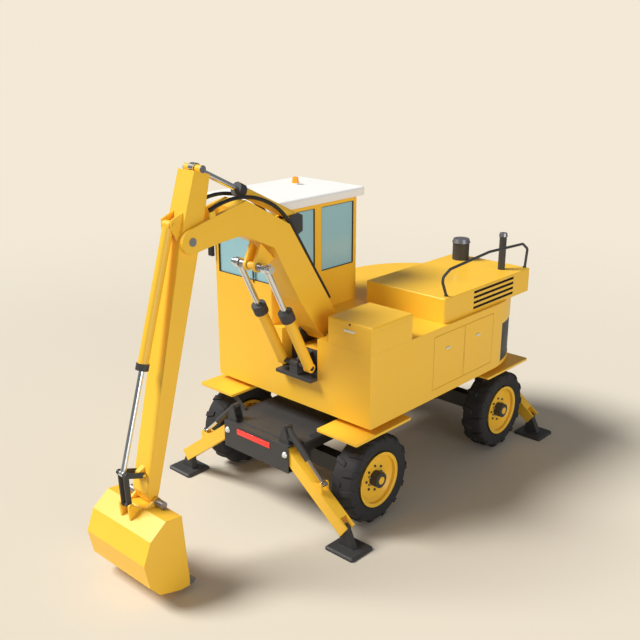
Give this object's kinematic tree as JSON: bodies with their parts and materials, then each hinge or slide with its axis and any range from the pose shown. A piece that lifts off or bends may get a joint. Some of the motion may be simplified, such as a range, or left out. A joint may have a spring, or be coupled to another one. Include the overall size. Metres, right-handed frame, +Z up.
{
  "type": "wheeled excavator",
  "caption": "Wheeled excavator with an offset two-piece working arm, backhoe bucket, cab, round-tailed slewing house and hinged stabiliser legs.",
  "frame": {"origin": "on the ground under the middle of the machine's whole length and width, as it parks on its tyres and pads", "axes": "+X forward, towards the working arm and bucket; +Y to the machine's left; +Z up"},
  "size_m": [6.3588, 3.1298, 4.189],
  "materials": {
    "yellow_paint": "glossy yellow machine paint",
    "white_paint": "white roof paint",
    "dark_paint": "satin dark grey paint",
    "tyre": "matt black tyre rubber",
    "hose_rubber": "matt black hose cover",
    "chrome_rod": "polished hard chrome",
    "glass": "pale blue tinted safety glass",
    "cast_iron": "plain cast engine block",
    "seat_vinyl": "black moulded seat and console"
  },
  "bodies": {
    "chassis": {"chassis_frame": "dark_paint", "stabiliser_boxes": "dark_paint", "axles": "dark_paint", "fenders": "yellow_paint"},
    "knuckle_left": {"knuckle_left": "dark_paint"},
    "knuckle_right": {"knuckle_right": "dark_paint"},
    "wheel_front_left": {"tyre_front_left": "tyre", "rim_front_left": "yellow_paint"},
    "wheel_front_right": {"tyre_front_right": "tyre", "rim_front_right": "yellow_paint"},
    "wheel_rear_left": {"tyre_rear_left": "tyre", "rim_rear_left": "yellow_paint"},
    "wheel_rear_right": {"tyre_rear_right": "tyre", "rim_rear_right": "yellow_paint"},
    "leg_front_left": {"leg_front_left": "yellow_paint"},
    "pad_front_left": {"pad_front_left": "dark_paint"},
    "leg_barrel_front_left": {"leg_barrel_front_left": "dark_paint"},
    "leg_rod_front_left": {"leg_rod_front_left": "chrome_rod"},
    "leg_front_right": {"leg_front_right": "yellow_paint"},
    "pad_front_right": {"pad_front_right": "dark_paint"},
    "leg_barrel_front_right": {"leg_barrel_front_right": "dark_paint"},
    "leg_rod_front_right": {"leg_rod_front_right": "chrome_rod"},
    "leg_rear_left": {"leg_rear_left": "yellow_paint"},
    "pad_rear_left": {"pad_rear_left": "dark_paint"},
    "leg_barrel_rear_left": {"leg_barrel_rear_left": "dark_paint"},
    "leg_rod_rear_left": {"leg_rod_rear_left": "chrome_rod"},
    "leg_rear_right": {"leg_rear_right": "yellow_paint"},
    "pad_rear_right": {"pad_rear_right": "dark_paint"},
    "leg_barrel_rear_right": {"leg_barrel_rear_right": "dark_paint"},
    "leg_rod_rear_right": {"leg_rod_rear_right": "chrome_rod"},
    "house": {"house_body": "yellow_paint", "boom_pedestal": "dark_paint", "counterweight": "dark_paint", "hood": "yellow_paint", "toolbox": "yellow_paint", "engine_block": "cast_iron", "exhaust_and_air_cleaner": "dark_paint", "handrail": "dark_paint", "cab_shell": "yellow_paint", "cab_glass": "glass", "cab_roof": "white_paint", "cab_seat": "seat_vinyl"},
    "toolbox_lid": {"toolbox_lid": "yellow_paint"},
    "side_door_front": {"side_door_front": "yellow_paint"},
    "side_door_rear": {"side_door_rear": "yellow_paint"},
    "cab_door": {"cab_door": "yellow_paint", "cab_door_glass": "glass"},
    "boom": {"boom": "yellow_paint", "hoses": "hose_rubber"},
    "boom_barrels": {"boom_barrels": "yellow_paint"},
    "boom_rods": {"boom_rods": "chrome_rod"},
    "arm": {"arm": "yellow_paint"},
    "arm_barrel": {"arm_barrel": "yellow_paint"},
    "arm_rod": {"arm_rod": "chrome_rod"},
    "bucket_barrel": {"bucket_barrel": "yellow_paint"},
    "bucket_rod": {"bucket_rod": "chrome_rod"},
    "rocker": {"rocker": "dark_paint"},
    "link": {"link": "dark_paint"},
    "bucket": {"bucket": "yellow_paint"}
  },
  "joints": [
    {"name": "steer_left", "type": "hinge", "parent": "chassis", "child": "knuckle_left", "pos_m": [0.34, 1, 0.5365], "axis": [0, 0, 1], "range_deg": [-30, 30]},
    {"name": "steer_right", "type": "hinge", "parent": "chassis", "child": "knuckle_right", "pos_m": [0.34, -1, 0.5365], "axis": [0, 0, 1], "range_deg": [-31, 31]},
    {"name": "roll_front_left", "type": "hinge", "parent": "knuckle_left", "child": "wheel_front_left", "pos_m": [0.34, 1.085, 0.5365], "axis": [0, 1, 0], "continuous": true},
    {"name": "roll_front_right", "type": "hinge", "parent": "knuckle_right", "child": "wheel_front_right", "pos_m": [0.34, -1.085, 0.5365], "axis": [0, 1, 0], "continuous": true},
    {"name": "roll_rear_left", "type": "hinge", "parent": "chassis", "child": "wheel_rear_left", "pos_m": [-2.26, 1.085, 0.5365], "axis": [0, 1, 0], "continuous": true},
    {"name": "roll_rear_right", "type": "hinge", "parent": "chassis", "child": "wheel_rear_right", "pos_m": [-2.26, -1.085, 0.5365], "axis": [0, 1, 0], "continuous": true},
    {"name": "leg_swing_front_left", "type": "hinge", "parent": "chassis", "child": "leg_front_left", "pos_m": [1.008, 0.48, 0.869], "axis": [1, 0, 0], "range_deg": [0, 55]},
    {"name": "pad_tilt_front_left", "type": "hinge", "parent": "leg_front_left", "child": "pad_front_left", "pos_m": [1.008, 1.31387, 0.2475], "axis": [1, 0, 0], "range_deg": [-56, 1]},
    {"name": "leg_barrel_swing_front_left", "type": "hinge", "parent": "chassis", "child": "leg_barrel_front_left", "pos_m": [1.008, 0.43, 1.165], "axis": [1, 0, 0], "range_deg": [-1, 42.11]},
    {"name": "leg_rod_slide_front_left", "type": "slide", "parent": "leg_barrel_front_left", "child": "leg_rod_front_left", "axis": [0, 0.7362, -0.6768], "range_m": [-0.235, 0.005]},
    {"name": "leg_swing_front_right", "type": "hinge", "parent": "chassis", "child": "leg_front_right", "pos_m": [1.008, -0.48, 0.869], "axis": [-1, 0, 0], "range_deg": [0, 55]},
    {"name": "pad_tilt_front_right", "type": "hinge", "parent": "leg_front_right", "child": "pad_front_right", "pos_m": [1.008, -1.31387, 0.2475], "axis": [-1, 0, 0], "range_deg": [-56, 1]},
    {"name": "leg_barrel_swing_front_right", "type": "hinge", "parent": "chassis", "child": "leg_barrel_front_right", "pos_m": [1.008, -0.43, 1.165], "axis": [-1, 0, 0], "range_deg": [-1, 42.11]},
    {"name": "leg_rod_slide_front_right", "type": "slide", "parent": "leg_barrel_front_right", "child": "leg_rod_front_right", "axis": [0, -0.7362, -0.6768], "range_m": [-0.235, 0.005]},
    {"name": "leg_swing_rear_left", "type": "hinge", "parent": "chassis", "child": "leg_rear_left", "pos_m": [-2.928, 0.48, 0.869], "axis": [1, 0, 0], "range_deg": [0, 55]},
    {"name": "pad_tilt_rear_left", "type": "hinge", "parent": "leg_rear_left", "child": "pad_rear_left", "pos_m": [-2.928, 1.31387, 0.2475], "axis": [1, 0, 0], "range_deg": [-56, 1]},
    {"name": "leg_barrel_swing_rear_left", "type": "hinge", "parent": "chassis", "child": "leg_barrel_rear_left", "pos_m": [-2.928, 0.43, 1.165], "axis": [1, 0, 0], "range_deg": [-1, 42.11]},
    {"name": "leg_rod_slide_rear_left", "type": "slide", "parent": "leg_barrel_rear_left", "child": "leg_rod_rear_left", "axis": [0, 0.7362, -0.6768], "range_m": [-0.235, 0.005]},
    {"name": "leg_swing_rear_right", "type": "hinge", "parent": "chassis", "child": "leg_rear_right", "pos_m": [-2.928, -0.48, 0.869], "axis": [-1, 0, 0], "range_deg": [0, 55]},
    {"name": "pad_tilt_rear_right", "type": "hinge", "parent": "leg_rear_right", "child": "pad_rear_right", "pos_m": [-2.928, -1.31387, 0.2475], "axis": [-1, 0, 0], "range_deg": [-56, 1]},
    {"name": "leg_barrel_swing_rear_right", "type": "hinge", "parent": "chassis", "child": "leg_barrel_rear_right", "pos_m": [-2.928, -0.43, 1.165], "axis": [-1, 0, 0], "range_deg": [-1, 42.11]},
    {"name": "leg_rod_slide_rear_right", "type": "slide", "parent": "leg_barrel_rear_right", "child": "leg_rod_rear_right", "axis": [0, -0.7362, -0.6768], "range_m": [-0.235, 0.005]},
    {"name": "slew", "type": "hinge", "parent": "chassis", "child": "house", "pos_m": [-0.96, 0, 1.11], "axis": [0, 0, 1], "continuous": true},
    {"name": "boom_lift", "type": "hinge", "parent": "house", "child": "boom", "pos_m": [0.14, 0.18, 2.045], "axis": [0, -1, 0], "range_deg": [-35, 40]},
    {"name": "boom_barrel_swing", "type": "hinge", "parent": "house", "child": "boom_barrels", "pos_m": [0.6, 0.18, 1.752], "axis": [0, -1, 0], "range_deg": [-36, 40]},
    {"name": "boom_rod_slide", "type": "slide", "parent": "boom_barrels", "child": "boom_rods", "axis": [0.4464, 0, 0.8948], "range_m": [-0.32, 0.36]},
    {"name": "arm_swing", "type": "hinge", "parent": "boom", "child": "arm", "pos_m": [2.157, 0.18, 3.47], "axis": [0, 1, 0], "range_deg": [-30, 25]},
    {"name": "arm_barrel_swing", "type": "hinge", "parent": "boom", "child": "arm_barrel", "pos_m": [0.62, 0.18, 3.462], "axis": [0, -1, 0], "range_deg": [-2, 2]},
    {"name": "arm_rod_slide", "type": "slide", "parent": "arm_barrel", "child": "arm_rod", "axis": [0.8932, 0, 0.4496], "range_m": [-0.355, 0.3]},
    {"name": "bucket_curl", "type": "hinge", "parent": "arm", "child": "bucket", "pos_m": [2.752, 0.18, 0.925], "axis": [0, 1, 0], "range_deg": [-30, 60]},
    {"name": "rocker_swing", "type": "hinge", "parent": "arm", "child": "rocker", "pos_m": [2.826, 0.18, 1.217], "axis": [0, 1, 0], "range_deg": [-41, 81]},
    {"name": "link_swing", "type": "hinge", "parent": "rocker", "child": "link", "pos_m": [3.018, 0.18, 1.285], "axis": [0, 1, 0], "range_deg": [-68, 35]},
    {"name": "bucket_barrel_swing", "type": "hinge", "parent": "arm", "child": "bucket_barrel", "pos_m": [2.302, 0.18, 3.64], "axis": [0, 1, 0], "range_deg": [-2, 2]},
    {"name": "bucket_rod_slide", "type": "slide", "parent": "bucket_barrel", "child": "bucket_rod", "axis": [0.2909, 0, -0.9568], "range_m": [-0.12, 0.24]},
    {"name": "side_door_front_hinge", "type": "hinge", "parent": "house", "child": "side_door_front", "pos_m": [-0.6025, 1.256, 1.672], "axis": [0, 0, -1], "range_deg": [0, 95]},
    {"name": "side_door_rear_hinge", "type": "hinge", "parent": "house", "child": "side_door_rear", "pos_m": [-1.8775, 1.256, 1.672], "axis": [0, 0, 1], "range_deg": [0, 95]},
    {"name": "toolbox_lid_hinge", "type": "hinge", "parent": "house", "child": "toolbox_lid", "pos_m": [-0.184, 0.933, 2.346], "axis": [0, -1, 0], "range_deg": [0, 75]},
    {"name": "cab_door_hinge", "type": "hinge", "parent": "house", "child": "cab_door", "pos_m": [-0.404, -1.264, 2.79], "axis": [0, 0, -1], "range_deg": [0, 100]}
  ],
  "couplings": [
    {"joint": "steer_right", "follows": "steer_left", "ratio": 1},
    {"joint": "pad_tilt_front_left", "follows": "leg_swing_front_left", "ratio": -1},
    {"joint": "leg_barrel_swing_front_left", "follows": "leg_swing_front_left", "ratio": 0.7475},
    {"joint": "leg_rod_slide_front_left", "follows": "leg_swing_front_left", "m_per_rad": -0.2387},
    {"joint": "pad_tilt_front_right", "follows": "leg_swing_front_right", "ratio": -1},
    {"joint": "leg_barrel_swing_front_right", "follows": "leg_swing_front_right", "ratio": 0.7475},
    {"joint": "leg_rod_slide_front_right", "follows": "leg_swing_front_right", "m_per_rad": -0.2387},
    {"joint": "pad_tilt_rear_left", "follows": "leg_swing_rear_left", "ratio": -1},
    {"joint": "leg_barrel_swing_rear_left", "follows": "leg_swing_rear_left", "ratio": 0.7475},
    {"joint": "leg_rod_slide_rear_left", "follows": "leg_swing_rear_left", "m_per_rad": -0.2387},
    {"joint": "pad_tilt_rear_right", "follows": "leg_swing_rear_right", "ratio": -1},
    {"joint": "leg_barrel_swing_rear_right", "follows": "leg_swing_rear_right", "ratio": 0.7475},
    {"joint": "leg_rod_slide_rear_right", "follows": "leg_swing_rear_right", "m_per_rad": -0.2387},
    {"joint": "boom_barrel_swing", "follows": "boom_lift", "ratio": 0.9742},
    {"joint": "boom_rod_slide", "follows": "boom_lift", "m_per_rad": 0.5085},
    {"joint": "arm_barrel_swing", "follows": "arm_swing", "ratio": -0.0418},
    {"joint": "arm_rod_slide", "follows": "arm_swing", "m_per_rad": 0.6667},
    {"joint": "rocker_swing", "follows": "bucket_curl", "ratio": 1.32},
    {"joint": "link_swing", "follows": "bucket_curl", "ratio": -1.106},
    {"joint": "bucket_barrel_swing", "follows": "bucket_curl", "ratio": 0.0114},
    {"joint": "bucket_rod_slide", "follows": "bucket_curl", "m_per_rad": 0.2216}
  ]
}
